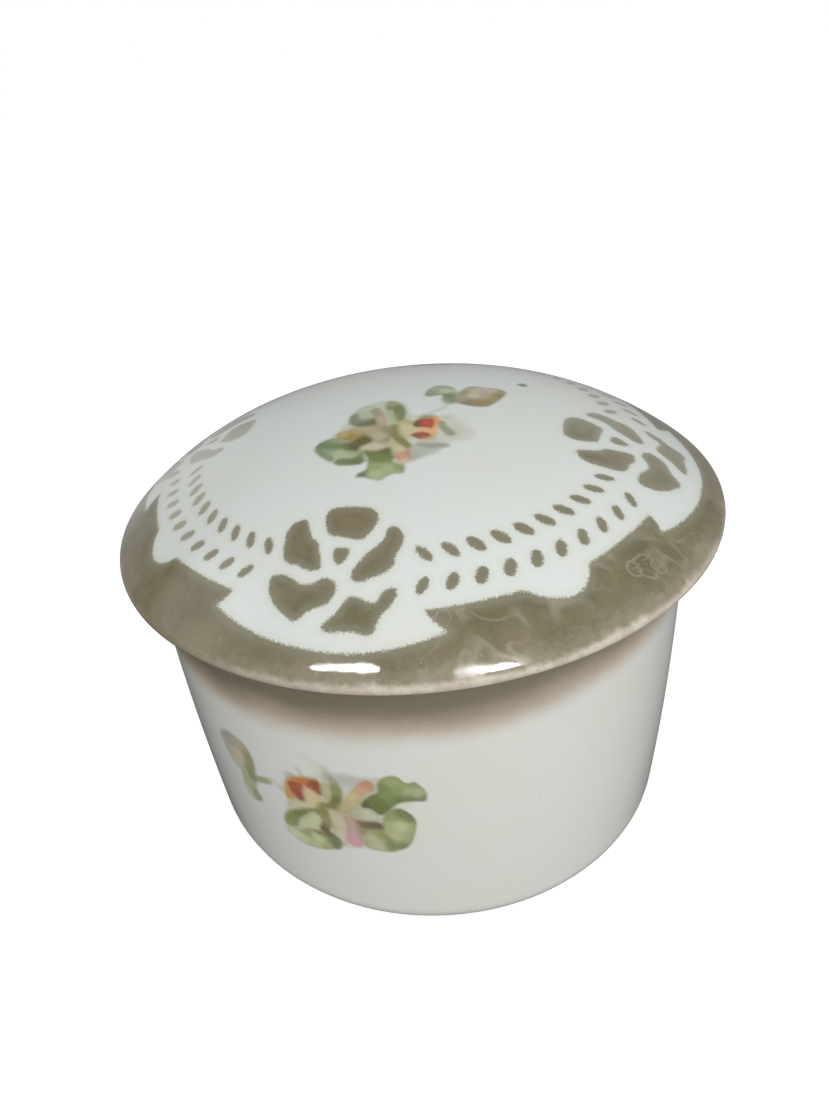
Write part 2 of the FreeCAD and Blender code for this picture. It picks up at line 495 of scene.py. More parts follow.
# leaf rows: distance from the axis, first and last angle past the flower, length, slant
LEAF_ROWS = [(34.6, 18.3, 70.7, 2.95, 38), (38.9, 17.0, 68.9, 2.65, -39)]
LEAF_WIDTHS = [1.3, 1.4, 1.6, 1.6, 1.55, 1.45, 1.4, 1.35, 1.3, 1.25]
LEAF_TAPER, LEAF_FULLNESS = 2.2, 0.55

# where the white ground meets the taupe border: (angle past the flower, radius)
BORDER = [
    [(-23.5, 44.1), (-17, 45.2), (-9, 46.1), (0, 46.5), (5, 46.45), (10, 46.1), (15, 45.5),
     (20, 44.7)],
    [(20, 44.7), (17.5, 42.9), (17, 42.0)],
    [(17, 42.0), (25, 41.9), (34.5, 42.0)],
    [(34.5, 42.0), (37, 43.3), (40, 44.2), (42.5, 44.5), (45, 44.1), (47, 43.2),
     (48.5, 42.0)],
    [(48.5, 42.0), (58, 41.7), (68.5, 41.7)],
    [(68.5, 41.7), (67.8, 43), (66.5, 44.1)],
]


def flower_angle(flower):
    return FIRST_FLOWER + flower * math.tau / FLOWERS


def border_outline():
    """The closed edge of the white ground in plan."""
    outline = []
    for flower in range(FLOWERS):
        start = flower_angle(flower)
        for side in BORDER:
            curve = smooth_line(side, closed=False)[:-1]
            outline.append(polar(start + np.radians(curve[:, 0]), curve[:, 1]))
    return np.concatenate(outline)


def leaf_depth(plan, chain_start):
    """Depth inside the leaves of the chain that follows one flower."""
    depth = np.full(len(plan), -DEPTH_REACH)
    for radius, first, last, length, slant in LEAF_ROWS:
        for k, width in enumerate(LEAF_WIDTHS):
            share = k / (len(LEAF_WIDTHS) - 1)
            angle = chain_start + math.radians(first + (last - first) * share)
            out = polar(angle, 1.0)
            side = np.array([-out[1], out[0]])
            lean = math.radians(slant)
            axis = out * math.cos(lean) + side * math.sin(lean)
            gap = plan - out * radius
            along_leaf = np.abs(gap @ axis) / (length / 2)
            half_width = width / 2 * np.clip(1 - along_leaf ** LEAF_TAPER, 0, 1) ** LEAF_FULLNESS
            across = np.abs(gap @ np.array([-axis[1], axis[0]]))
            beyond = np.maximum(along_leaf - 1, 0) * length / 2
            depth = np.maximum(depth, half_width - across - beyond)
    return depth


def stencil_depth(plan):
    """Depth inside the taupe, and inside the border part of it."""
    border = -depth_inside(plan, border_outline())
    depth = border.copy()
    for flower in range(FLOWERS):
        angle = flower_angle(flower)
        out = polar(angle, 1.0)
        side = np.array([-out[1], out[0]])
        local = np.stack([plan @ side, plan @ out - FLOWER_RADIUS], axis=1)
        for shape in FLOWER_SHAPES:
            depth = np.maximum(depth, depth_inside(local, smooth_line(shape)))
        depth = np.maximum(depth, leaf_depth(plan, angle))
    return depth, border


# ---- flower sprays ---------------------------------------------------------------------
LID_GLAZE = np.array([0.76, 0.80, 0.775])      # as linear light
BOWL_GLAZE = np.array([0.79, 0.80, 0.755])
PAPER = (205, 209, 204)             # what bare glaze looks like beside the inks below


def paint_lid_spray(plan):
    """The spray on the crown: cupped leaves, an open flower and a budded sprig."""
    spray = Spray(plan * (1, -1), LID_GLAZE)
    patch, stroke, spot = spray.patch, spray.stroke, spray.spot
    # thin wash that joins the petals and leaves
    patch([(-9.6, 5.6), (-7.6, 2), (-6.2, -1.6), (-2, -3.2), (1.3, -1.6), (2.4, 3), (4.6, 4), (7.4, 5),
           (9.6, 8), (8.4, 12), (5, 14.6), (1.5, 17), (-1.6, 17.4), (-4.6, 16), (-9, 15.2), (-12, 11.4),
           (-12.6, 8.4)],
          (-10, 11, 158, 170, 142), (-5, 1, 170, 174, 150), (-4, 8, 168, 160, 134), (0, 1, 164, 172, 142),
          (0, 9, 160, 156, 118), (5, 8, 186, 180, 158), (8, 9, 188, 188, 172), (4, 14, 176, 180, 168),
          (0, 16, 178, 172, 146), (-5, 14, 162, 168, 136), soft=1.0, strength=0.75)
    # soft shadows and pale petals to the right of the flower
    spot(9.2, 10.3, 2.4, 2.4, (183, 184, 170), soft=1.0, strength=0.75)
    spot(9.0, 6.8, 2.0, 1.4, (190, 192, 178), soft=0.9, strength=0.6)
    spot(8.0, 4.8, 1.0, 0.8, (176, 179, 168), strength=0.6)
    patch([(1, 12.6), (3, 13.2), (5, 12.8), (6.8, 13.4), (5.2, 15.4), (3, 16.2), (1.5, 16.8), (0.8, 15)],
          (3, 14.5, 160, 167, 158), (1.6, 16, 150, 158, 150), soft=0.7, strength=0.8)
    stroke([(3.2, 12.8), (5, 13.5), (7, 13.7)], 0.8, (5, 13.4, 138, 141, 130), strength=0.7)
    stroke([(6.7, 7.0), (7.1, 8.8), (7.9, 10.4)], 1.0, (7, 9, 128, 138, 120), strength=0.85)
    # cupped leaf on the left
    patch([(-12.8, 9.3), (-12.3, 8.2), (-11, 7.6), (-9, 7.6), (-7.3, 8.6), (-6.2, 10.5), (-5.6, 12.5),
           (-5.7, 14.6), (-6.2, 15.8), (-7.8, 15.6), (-9.3, 15.1), (-10.3, 13.9), (-11.4, 12.6),
           (-12.4, 11)],
          (-9, 12.5, 162, 177, 148), (-12, 9, 112, 130, 102), (-8.5, 8.4, 145, 155, 125),
          (-10.6, 9.9, 125, 142, 113), (-7.2, 11, 108, 116, 82), (-8, 13.4, 158, 172, 140),
          (-6.3, 15.2, 112, 118, 92), (-11.4, 11.4, 140, 156, 128))
    stroke([(-12, 9), (-10, 9.7), (-8.2, 10.4), (-6.5, 11.5)], 1.1, (-10, 9.7, 108, 124, 96),
           (-7, 11, 98, 104, 70))
    stroke([(-9, 14.5), (-7.5, 14.9), (-6.1, 15.2)], 1.2, (-7.5, 14.9, 106, 116, 92))
    stroke([(-12.5, 10), (-11.7, 11.6), (-10.6, 13.2)], 0.7, (-11.6, 11.6, 120, 138, 110))
    # ochre petal with a brown heel
    patch([(-9.3, 6.2), (-8.2, 5.8), (-6.8, 6.2), (-5.4, 7.2), (-4.4, 8.6), (-3.7, 10), (-4.6, 10.6),
           (-6, 10.4), (-7.2, 9), (-8.6, 8), (-9.4, 7.2)],
          (-8.8, 6.6, 170, 156, 112), (-7, 7.8, 152, 130, 76), (-5.3, 9.3, 116, 96, 52),
          (-4.2, 9.9, 128, 108, 64), (-6, 6.6, 168, 154, 118))
    patch([(-7.3, 10.4), (-6, 9.4), (-4.6, 9.4), (-4.6, 10.6), (-5.6, 11.4), (-6.6, 11.6)],
          (-6, 10.6, 90, 84, 50), soft=0.5, strength=0.85)
    # upper left leaf
    spot(-2.8, -2.2, 2.0, 1.2, (182, 190, 172), soft=0.9, strength=0.5)
    patch([(-4.5, -1.8), (-3.2, -0.8), (-3.1, 1), (-3.1, 3), (-3.2, 4.7), (-4.8, 5.2), (-6, 4.7),
           (-7, 3.6), (-7.2, 2.2), (-6.8, 0.5), (-6, -1), (-5.3, -1.6)],
          (-4.7, 1.5, 167, 177, 152), (-4.5, -1, 177, 184, 162), (-6.9, 2.8, 122, 134, 116),
          (-4.8, 4.7, 108, 112, 85), (-3.4, 4.6, 112, 104, 76))
    stroke([(-6.8, 1.0), (-6.9, 3), (-6, 4.4), (-4, 5.1), (-2.9, 5.4)], 1.0, (-6.9, 2.5, 118, 130, 110),
           (-4.5, 5, 100, 104, 76), soft=0.5)
    stroke([(-3.2, 0.2), (-2.5, 3), (-2.2, 5.5), (-2.0, 7.5)], 1.4, (-2.9, 0.8, 150, 142, 118),
           (-2.3, 4, 172, 154, 136))
    # cream petals behind the heart
    patch([(-7.3, 5.2), (-5.5, 5.5), (-3, 6), (-1.6, 7), (-1.2, 9), (-1.5, 11), (-2.5, 12), (-3.5, 10.5),
           (-4, 9), (-5.2, 7.3), (-6.5, 6.2)],
          (-4.5, 6.4, 168, 158, 130), (-3, 9, 172, 164, 144), (-1.6, 11, 146, 142, 112),
          (-1.6, 7.6, 146, 140, 112))
    patch([(-0.9, -2.7), (-0.1, -2.4), (0.6, -1.4), (1.2, 0), (1.4, 2), (1.2, 4), (0.6, 6), (0.1, 6.8),
           (-0.2, 5), (-0.6, 3), (-1.1, 1), (-1.4, -1)],
          (0.2, 0.8, 110, 122, 78), (-0.3, -2.3, 145, 155, 120), (0.7, 3.5, 116, 126, 86),
          (0, 6.3, 126, 130, 92))
    stroke([(-1.1, 1.2), (-0.8, 3.5), (-0.4, 6)], 0.9, (-0.8, 4, 166, 173, 136))
    stroke([(-1.0, 7), (-0.8, 9)], 0.9, (-0.9, 8, 132, 134, 95), strength=0.6)
    stroke([(-0.3, 7), (-0.4, 9), (0, 10.5), (0.7, 12.4)], 1.3, (-0.3, 8, 120, 124, 80),
           (0.3, 11.5, 118, 116, 68))
    patch([(0.3, 5.6), (1.6, 5.2), (2.6, 6.2), (2.9, 7.6), (3.9, 8.6), (3.9, 9.4), (2.6, 9.8),
           (1.4, 10.4), (0.7, 9.5), (0.4, 7.8)],
          (1.5, 7.5, 187, 182, 142), (3.3, 9, 194, 180, 148), (2.2, 5.8, 172, 167, 134))
    # stamens
    spot(4.8, 4.9, 1.1, 0.8, (120, 126, 86))
    stroke([(5.8, 5.6), (5.7, 7), (5.2, 8.4), (5.3, 9.6), (4.8, 11)], 1.1, (5.6, 6.5, 205, 140, 82),
           (5.3, 9.6, 214, 164, 98), (4.9, 10.8, 190, 150, 104))
    patch([(2.7, 6.6), (3.2, 5.6), (4.2, 5.4), (5.3, 5.6), (5.5, 6.4), (5.4, 7.2), (5.1, 8.2), (4.6, 8.3),
           (3.9, 7.8), (2.8, 7.4)],
          (4.5, 6.6, 176, 76, 44), (3, 6.8, 118, 78, 50), (4.9, 7.9, 156, 70, 38), soft=0.35)
    spot(4.0, 8.7, 0.7, 0.5, (214, 156, 130), soft=0.4)
    patch([(2.2, 10), (3, 9.6), (4.2, 9.8), (4.6, 10.6), (4, 11.3), (3, 11.1)],
          (3.6, 10.4, 150, 76, 56), (2.4, 10, 142, 98, 76), soft=0.35)
    spot(4.4, 11.8, 1.2, 0.7, (176, 160, 132), strength=0.5)
    # lower petals
    patch([(-5.8, 11.8), (-4.4, 11.1), (-3, 11.1), (-2, 12), (-2, 13), (-3.4, 13.1), (-5, 13)],
          (-3.8, 12.1, 184, 179, 160))
    patch([(-1.6, 11.3), (-0.6, 11.5), (0.5, 12.4), (1.2, 13.8), (1.3, 15.2), (1.2, 16.6), (0.4, 17.3),
           (-0.3, 16.6), (-0.7, 15), (-1.4, 13.2)],
          (-0.9, 12.5, 178, 175, 142), (0.2, 13.5, 188, 180, 146), (0.2, 15.6, 188, 148, 122),
          (0.9, 14.8, 176, 142, 122), (0.4, 17, 200, 180, 156))
    stroke([(0.4, 11.6), (1.3, 13)], 0.7, (0.9, 12.4, 124, 124, 78))
    # bottom leaf
    patch([(-5.2, 12.9), (-3.5, 13.4), (-1.7, 13.0), (-1.3, 14.5), (-1.0, 15.6), (-1.4, 16.4),
           (-0.7, 17.2), (0.3, 17.8), (0.4, 18.6), (0.1, 19.5), (-1.2, 19.4), (-2.2, 19.8), (-3.2, 20.5),
           (-4.4, 20), (-5.5, 19.3), (-6.6, 18.9), (-6.3, 18.2), (-5.3, 17.7), (-4.8, 16.4), (-4.7, 15),
           (-5, 13.8)],
          (-2, 13.8, 100, 102, 56), (-4, 13.7, 108, 116, 72), (-3, 15.3, 106, 120, 72),
          (-1.7, 15.6, 110, 122, 78), (-3.6, 17.2, 138, 154, 112), (-2, 17.8, 154, 169, 132),
          (-3.8, 19, 160, 174, 140), (-1, 19, 150, 163, 132), (-6.2, 18.5, 106, 117, 94),
          (-0.2, 18.2, 132, 144, 114))
    # budded sprig
    spot(9.7, -1.2, 1.1, 1.7, (142, 152, 126), strength=0.6)
    patch([(5.1, -3.8), (5.2, -5.2), (5.8, -6.6), (6.7, -7.9), (8, -8.3), (9.3, -7.6), (10, -6.4),
           (10.2, -4.8), (10, -3.4), (9.2, -2.6), (8.2, -2.8), (7.6, -3.6), (6.4, -3.4), (5.8, -3.2)],
          (6, -4.8, 132, 144, 126), (7.2, -6.8, 152, 162, 136), (8.8, -5.4, 178, 188, 160),
          (9.5, -7, 150, 158, 130), (9, -3.4, 124, 138, 108), soft=0.6)
    spot(8.8, -1.6, 1.2, 1.7, (104, 122, 88), soft=0.6, strength=0.9)
    stroke([(8.3, 0), (7.7, 1.6), (6.6, 2.6), (4.8, 3.6)], 1.0, (7.6, 1.2, 155, 164, 144), strength=0.6,
           soft=0.6)
    patch([(10.1, -3), (11, -5), (12, -6.5), (13.3, -7.3), (15, -6.6), (16.8, -6.2), (18, -5),
           (18.1, -3.8), (17.3, -2), (16.4, -0.5), (15.5, 0.7), (14.2, 1.8), (12.5, 1.7), (11, 1),
           (10.1, 0), (9.9, -1.5)],
          (13, -3, 186, 175, 154), (13.5, -5, 176, 170, 150), (12, -6, 162, 161, 128),
          (11.2, -4.5, 140, 137, 106), (10.5, -1, 150, 146, 124), (11.5, 0.3, 128, 121, 96),
          (13, 0.7, 138, 126, 98), (14.5, 0.5, 140, 125, 96), (16, -1.6, 150, 138, 92),
          (16.9, -2.8, 124, 118, 72), (17.4, -4.3, 146, 143, 110), (16, -5.3, 178, 170, 160),
          (14.8, -3, 168, 158, 136), soft=0.6)
    spot(21.6, -8.7, 0.8, 0.8, (84, 104, 84), soft=0.3, strength=0.9)
    return spray.layer()


def paint_bowl_spray(wall):
    """The spray on the wall, as (along the wall from the middle, height)."""
    spray = Spray(wall, BOWL_GLAZE)
    patch, stroke, spot = spray.patch, spray.stroke, spray.spot
    # thin wash that joins the petals and leaves
    patch([(-26, 20), (-26.6, 24), (-24.8, 28.6), (-24.8, 33), (-23, 36.4), (-19.4, 37.6), (-16, 39.4),
           (-12, 39.6), (-8.6, 40), (-5, 39.4), (-2, 36), (-6, 34), (-3.6, 31), (-4, 26), (-6.4, 23),
           (-10, 22.6), (-13, 22.4), (-16, 21.4), (-20, 19.4)],
          (-24, 24, 166, 174, 140), (-22, 31, 184, 170, 136), (-20, 37, 176, 178, 160),
          (-13, 38, 172, 176, 170), (-16, 31, 164, 160, 118), (-11, 31, 180, 178, 156),
          (-15, 25, 190, 182, 166), (-9, 26, 162, 166, 130), (-6, 36, 146, 158, 118),
          (-5, 29, 170, 177, 140), (-20, 21, 178, 186, 152), soft=0.8, strength=0.75)
    # faint leaves and shadows behind the flower
    spot(-12.5, 38.8, 2.2, 1.4, (162, 168, 162), soft=0.9, strength=0.6)
    spot(-22.8, 36.4, 1.0, 0.8, (150, 156, 142), strength=0.6)
    stroke([(-20.9, 38.6), (-20.2, 37)], 0.9, (-20.5, 38, 158, 164, 144), strength=0.6)
    stroke([(-15.9, 40.3), (-15.9, 38.2)], 1.0, (-16, 39, 148, 152, 138), strength=0.6)
    spot(-17.3, 40.4, 1.0, 1.2, (176, 180, 152), strength=0.5)
    spot(-19.3, 42, 1.0, 0.6, (176, 178, 168), strength=0.4)
    # bud and its leaf
    patch([(-38.5, 36.5), (-37.8, 38), (-35.5, 39.4), (-32.5, 39.2), (-31, 38), (-30.3, 35.5),
           (-30.6, 33), (-31.5, 31), (-33.5, 30.6), (-36, 31), (-37.6, 33)],
          (-36, 37.6, 164, 160, 160), (-34, 34.8, 190, 182, 158), (-33, 38.5, 168, 168, 146),
          (-31.3, 35.5, 142, 147, 118), (-31.6, 32.6, 136, 143, 110), (-35, 32.6, 184, 184, 166),
          (-37.5, 35, 178, 174, 168), soft=0.7)
    patch([(-34.3, 31), (-32, 31), (-31, 30), (-31.5, 28.5), (-31.3, 27), (-30.8, 26), (-31.5, 24.8),
           (-33, 24.2), (-34.6, 24.8), (-35.3, 26.5), (-35, 28.5), (-34.8, 30)],
          (-33, 28.5, 168, 174, 144), (-32.3, 26.4, 148, 154, 128), (-34.2, 26, 184, 190, 164), soft=0.7)
    stroke([(-32, 30.6), (-31, 31), (-29.5, 31.6), (-28, 32.2)], 1.3, (-31, 31, 132, 138, 104))
    stroke([(-28, 32.2), (-26.5, 33), (-25.4, 32)], 1.1, (-26.5, 32.6, 166, 173, 148), strength=0.6)
    # stamens
    stroke([(-23.7, 30.8), (-23.6, 32.4), (-23, 34.3), (-21.6, 35.6), (-19.8, 36.2), (-18.2, 36.6)], 1.4,
           (-23.3, 33, 184, 138, 72), (-21, 35.8, 186, 116, 58), (-18.5, 36.8, 164, 110, 66))
    spot(-19.6, 35.5, 1.6, 0.7, (186, 100, 44))
    patch([(-23.2, 34.5), (-21.8, 35), (-20.6, 34.6), (-20.6, 32.8), (-20.4, 31.4), (-21.5, 30.8),
           (-22.5, 31.2), (-23, 32.6)],
          (-21.9, 34.2, 160, 80, 38), (-21.5, 32.6, 152, 54, 42), (-21, 31.3, 100, 60, 44),
          (-22.9, 31, 178, 122, 84), soft=0.35)
    patch([(-19.2, 36.3), (-17.8, 36.7), (-17.3, 35.8), (-17.4, 34.4), (-18, 33.8), (-18.9, 34.4),
           (-19.6, 34.9)],
          (-18.2, 35.4, 134, 70, 32), (-19.1, 35.2, 158, 84, 40), soft=0.35)
    # petals
    patch([(-20.7, 33.5), (-20, 34.5), (-18.6, 34), (-17.5, 32.5), (-17.1, 31), (-17.6, 30),
           (-19.5, 29.6), (-21.5, 29), (-23.5, 29), (-24.5, 28.5), (-23.5, 30), (-21.5, 30.6),
           (-20.7, 31.5)],
          (-19.3, 32, 196, 186, 150), (-19.8, 34, 204, 180, 150), (-18, 31, 186, 178, 138),
          (-22.5, 29.5, 192, 192, 162))
    patch([(-17.2, 35.8), (-16.6, 37), (-15.8, 36.8), (-15.3, 35), (-15.4, 33.4), (-16, 32.8),
           (-17, 33.5)],
          (-16.3, 35, 174, 176, 144))
    patch([(-15.4, 38.5), (-14.5, 38), (-14, 36), (-14.2, 34), (-14.8, 32), (-15.5, 31), (-16.8, 31.5),
           (-16, 33), (-15.4, 35)],
          (-15, 33, 108, 112, 52), (-14.8, 36, 132, 138, 88), (-15.1, 38.2, 154, 156, 130))
    spot(-16.7, 30.9, 1.7, 1.2, (122, 116, 66))
    patch([(-14.9, 31.6), (-13.8, 33.2), (-13, 35), (-12, 36.6), (-10.8, 38.2), (-9.6, 39.1),
           (-8.8, 38.4), (-8.9, 37.2), (-10.2, 36), (-11.2, 34), (-12.2, 32.3), (-13.6, 31)],
          (-12.5, 35, 188, 182, 138), (-13.2, 32.8, 176, 167, 124), (-9.8, 38.3, 180, 138, 108),
          (-10.7, 36.9, 190, 156, 130), (-11.6, 34, 180, 168, 130))
    spot(-13.4, 30.6, 0.9, 0.8, (156, 147, 118), strength=0.7)
    patch([(-13, 31.8), (-11.8, 32.6), (-10.3, 32.6), (-9, 31.8), (-8.6, 30.6), (-9.2, 29.7), (-11, 29.6),
           (-12.6, 29.7)],
          (-12.2, 31, 172, 170, 148), (-10.2, 31.2, 182, 184, 166))
    # big two-lobed leaf
    spot(-5.0, 34.1, 1.8, 0.9, (190, 198, 170), strength=0.6)
    patch([(-11, 33.2), (-10.2, 34.8), (-9, 36), (-8, 36.8), (-7.9, 38.4), (-7.2, 39.8), (-6, 40.5),
           (-4.9, 40.2), (-4.2, 39.2), (-3.4, 39), (-2.6, 39.2), (-1.7, 38.2), (-1.1, 37), (-1.1, 35.8),
           (-1.5, 35.1), (-3, 35.2), (-4.6, 35), (-5.6, 34.5), (-6.6, 33.4), (-7.4, 32.3), (-8.3, 31.7),
           (-9.2, 32.6), (-10, 33)],
          (-10.5, 33.6, 88, 90, 46), (-9, 34.6, 98, 110, 58), (-8, 33, 96, 112, 52),
          (-7.3, 37.6, 112, 130, 76), (-6.5, 36, 116, 132, 80), (-5.8, 39, 142, 156, 106),
          (-5, 37.5, 128, 146, 92), (-3.5, 37.3, 150, 164, 128), (-2.2, 37, 156, 168, 136),
          (-2.8, 38.8, 132, 142, 110), (-3.5, 35.4, 106, 120, 82), (-1.6, 35.4, 118, 130, 96),
          (-5.2, 35.3, 100, 117, 72), soft=0.35)
    # round leaf with a dark cap
    patch([(-8.4, 28), (-8, 30.2), (-7.1, 32), (-5.9, 33.1), (-4.8, 33), (-3.6, 31.8), (-3.1, 30.2),
           (-3.3, 28.5), (-3.7, 26.8), (-4.2, 25.2), (-5.2, 23.8), (-6.2, 23.4), (-7.2, 24.3),
           (-8, 25.8)],
          (-5.4, 29.2, 176, 183, 144), (-6.3, 26.5, 168, 174, 138), (-7.7, 28.5, 156, 164, 126),
          (-5.2, 32.2, 108, 122, 80), (-3.9, 31.3, 110, 124, 84), (-6.7, 31.6, 138, 148, 106),
          (-3.5, 28.5, 150, 160, 124), (-5.5, 24.2, 118, 130, 92), (-4.5, 26, 148, 158, 120),
          (-7.6, 25.3, 130, 142, 102), soft=0.35)
    patch([(-13, 29.3), (-11, 29.4), (-9, 29.6), (-8.4, 29), (-8.6, 28), (-10, 27.7), (-12, 27.6),
           (-13, 28.2)],
          (-11, 28.7, 108, 90, 52), (-9.3, 28.8, 90, 82, 38), (-12.7, 28.8, 132, 116, 88))
    patch([(-12.8, 28), (-11, 27.6), (-9, 27.8), (-8.2, 27), (-7.6, 25.5), (-6.6, 24), (-6.8, 22.9),
           (-8.5, 22.6), (-10.3, 22.7), (-11.6, 23.5), (-12.4, 25)],
          (-10.5, 25.5, 168, 175, 142), (-9.2, 23.6, 172, 176, 148), (-7.4, 24, 120, 131, 90),
          (-8.6, 26.9, 136, 145, 96), (-12, 27, 136, 132, 98), (-11.6, 24.5, 156, 162, 132))
    # pink and cream petals under the heart
    spot(-14.6, 22.8, 1.2, 0.9, (198, 184, 184), strength=0.6)
    patch([(-17, 30.4), (-15.6, 30.9), (-14.2, 30.2), (-14, 28), (-14.3, 26), (-14.6, 24.2), (-15, 22.6),
           (-15.8, 22.4), (-16.4, 24), (-16.9, 26.5), (-17.2, 28.5)],
          (-15.6, 28, 186, 182, 160), (-15.6, 24.6, 190, 186, 166), (-15.2, 30.2, 182, 176, 150),
          (-17, 27, 168, 164, 136))
    patch([(-14.3, 29.8), (-13, 29.8), (-12.5, 28), (-12.3, 26), (-12.2, 23.8), (-12.8, 22.7),
           (-13.8, 22.9), (-14.5, 24), (-14.1, 26), (-13.9, 28)],
          (-13.2, 25.4, 188, 152, 160), (-13.3, 23.5, 194, 148, 162), (-13.4, 28, 176, 152, 148),
          (-13.8, 29.5, 170, 160, 140))
    # leaves on the lower left
    patch([(-19.8, 29.6), (-17.6, 30.4), (-17.2, 29.3), (-18.5, 28.7), (-20.3, 28.7), (-21.5, 27.4),
           (-22.8, 26), (-23.5, 24.6), (-24, 23.4), (-25.2, 22.6), (-26.3, 23), (-26, 24.6),
           (-24.9, 26.4), (-23.2, 27.8), (-21.5, 28.8)],
          (-22.5, 27.2, 114, 122, 74), (-24.8, 24.6, 120, 138, 86), (-19, 29.5, 128, 132, 84),
          (-25.6, 23.3, 140, 150, 108))
    patch([(-19.6, 28.7), (-18.6, 28), (-18.4, 26), (-19, 24.6), (-20.5, 24), (-22, 23.5), (-23, 24),
           (-22.6, 25.4), (-21.5, 26.8), (-20.4, 28)],
          (-20.6, 26, 184, 191, 156))
    stroke([(-17.9, 29.5), (-17.7, 27.4), (-18.2, 25.6)], 1.3, (-17.8, 28, 130, 130, 80),
           (-18.2, 26, 104, 100, 58))
    patch([(-26, 20.3), (-25.8, 21.8), (-24.5, 22.3), (-23, 22.6), (-21.8, 23.6), (-20.3, 24.1),
           (-18.6, 24.3), (-17.3, 24.3), (-16.2, 23.2), (-16.2, 21.8), (-17, 20.8), (-18.4, 20),
           (-20, 19.4), (-22, 18.9), (-24, 19)],
          (-20, 22.2, 180, 192, 148), (-22.3, 22.8, 146, 153, 118), (-16.8, 22.4, 104, 120, 88),
          (-18.3, 20.4, 150, 161, 124), (-23.5, 20.5, 184, 190, 154), (-25.5, 20.6, 196, 200, 172),
          (-19.2, 24, 126, 126, 88), (-21, 19.6, 172, 179, 146), soft=0.6)
    stroke([(-18.4, 25.2), (-17.6, 24.2), (-16.6, 23), (-16.8, 21.4)], 1.3, (-18.2, 25, 94, 88, 50),
           (-16.8, 22.6, 104, 120, 86), soft=0.5)
    return spray.layer()


# ---- material nodes --------------------------------------------------------------------
class Graph:
    """Short calls for building the node tree of a material or of the world."""

    def __init__(self, owner, place):
        owner.use_nodes = True
        self.nodes = owner.node_tree.nodes
        self.links = owner.node_tree.links
        self.nodes.clear()
        self.place = self.add("ShaderNodeTexCoord").outputs[place]

    def add(self, kind, **settings):
        node = self.nodes.new(kind)
        for key, value in settings.items():
            setattr(node, key, value)
        return node

    def feed(self, value, socket):
        if isinstance(value, bpy.types.NodeSocket):
            self.links.new(value, socket)
        else:
            socket.default_value = value

    def math(self, operation, *values, clamp=False):
        node = self.add("ShaderNodeMath", operation=operation, use_clamp=clamp)
        for value, socket in zip(values, node.inputs):
            self.feed(value, socket)
        return node.outputs[0]

    def plus(self, first, second, clamp=False):
        return self.math("ADD", first, second, clamp=clamp)

    def minus(self, first, second):
        return self.math("SUBTRACT", first, second)

    def times(self, first, second):
        return self.math("MULTIPLY", first, second)

    def span(self, value, start, end, low=0.0, high=1.0):
        """Smooth step from low to high as the value goes from start to end."""
        node = self.add("ShaderNodeMapRange", interpolation_type="SMOOTHSTEP")
        for item, socket in zip((value, start, end, low, high), node.inputs):
            self.feed(item, socket)
        return node.outputs[0]


